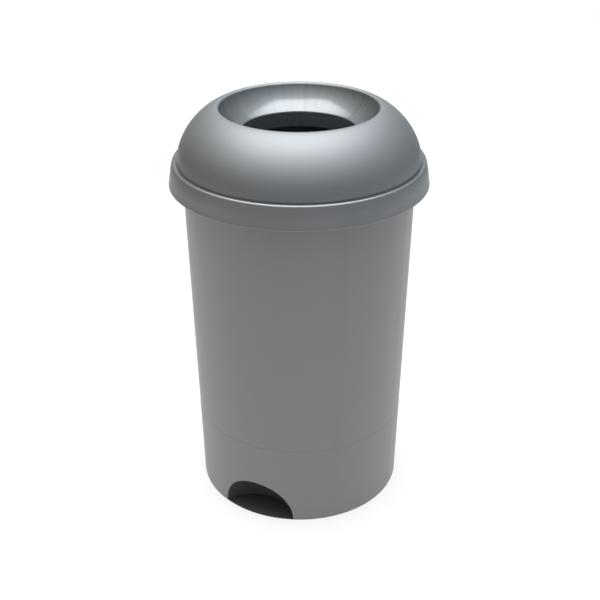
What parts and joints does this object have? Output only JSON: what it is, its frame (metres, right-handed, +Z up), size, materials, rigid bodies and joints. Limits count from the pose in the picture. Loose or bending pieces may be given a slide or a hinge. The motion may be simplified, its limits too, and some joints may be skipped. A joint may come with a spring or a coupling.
{
  "type": "round waste bin",
  "caption": "Round free-standing plastic waste bin: drafted tub with a toe recess in its foot, and a lift-off domed lid with an open funnel hole.",
  "frame": {"origin": "centre of the base, on the ground", "axes": "+Z up along the bin's axis, -Y out of the toe recess"},
  "size_m": [0.4, 0.4, 0.6474],
  "materials": {
    "tub_plastic": "silver-grey moulded plastic, satin, with a faint flow mark",
    "lid_plastic": "silver-grey moulded plastic, satin on the dome and skirt, glossier in the funnel"
  },
  "bodies": {
    "tub": {"tub": "tub_plastic"},
    "lid": {"lid": "lid_plastic"}
  },
  "joints": [
    {"name": "lid_lift", "type": "slide", "parent": "tub", "child": "lid", "axis": [0, 0, 1], "range_m": [0, 0.2]}
  ]
}
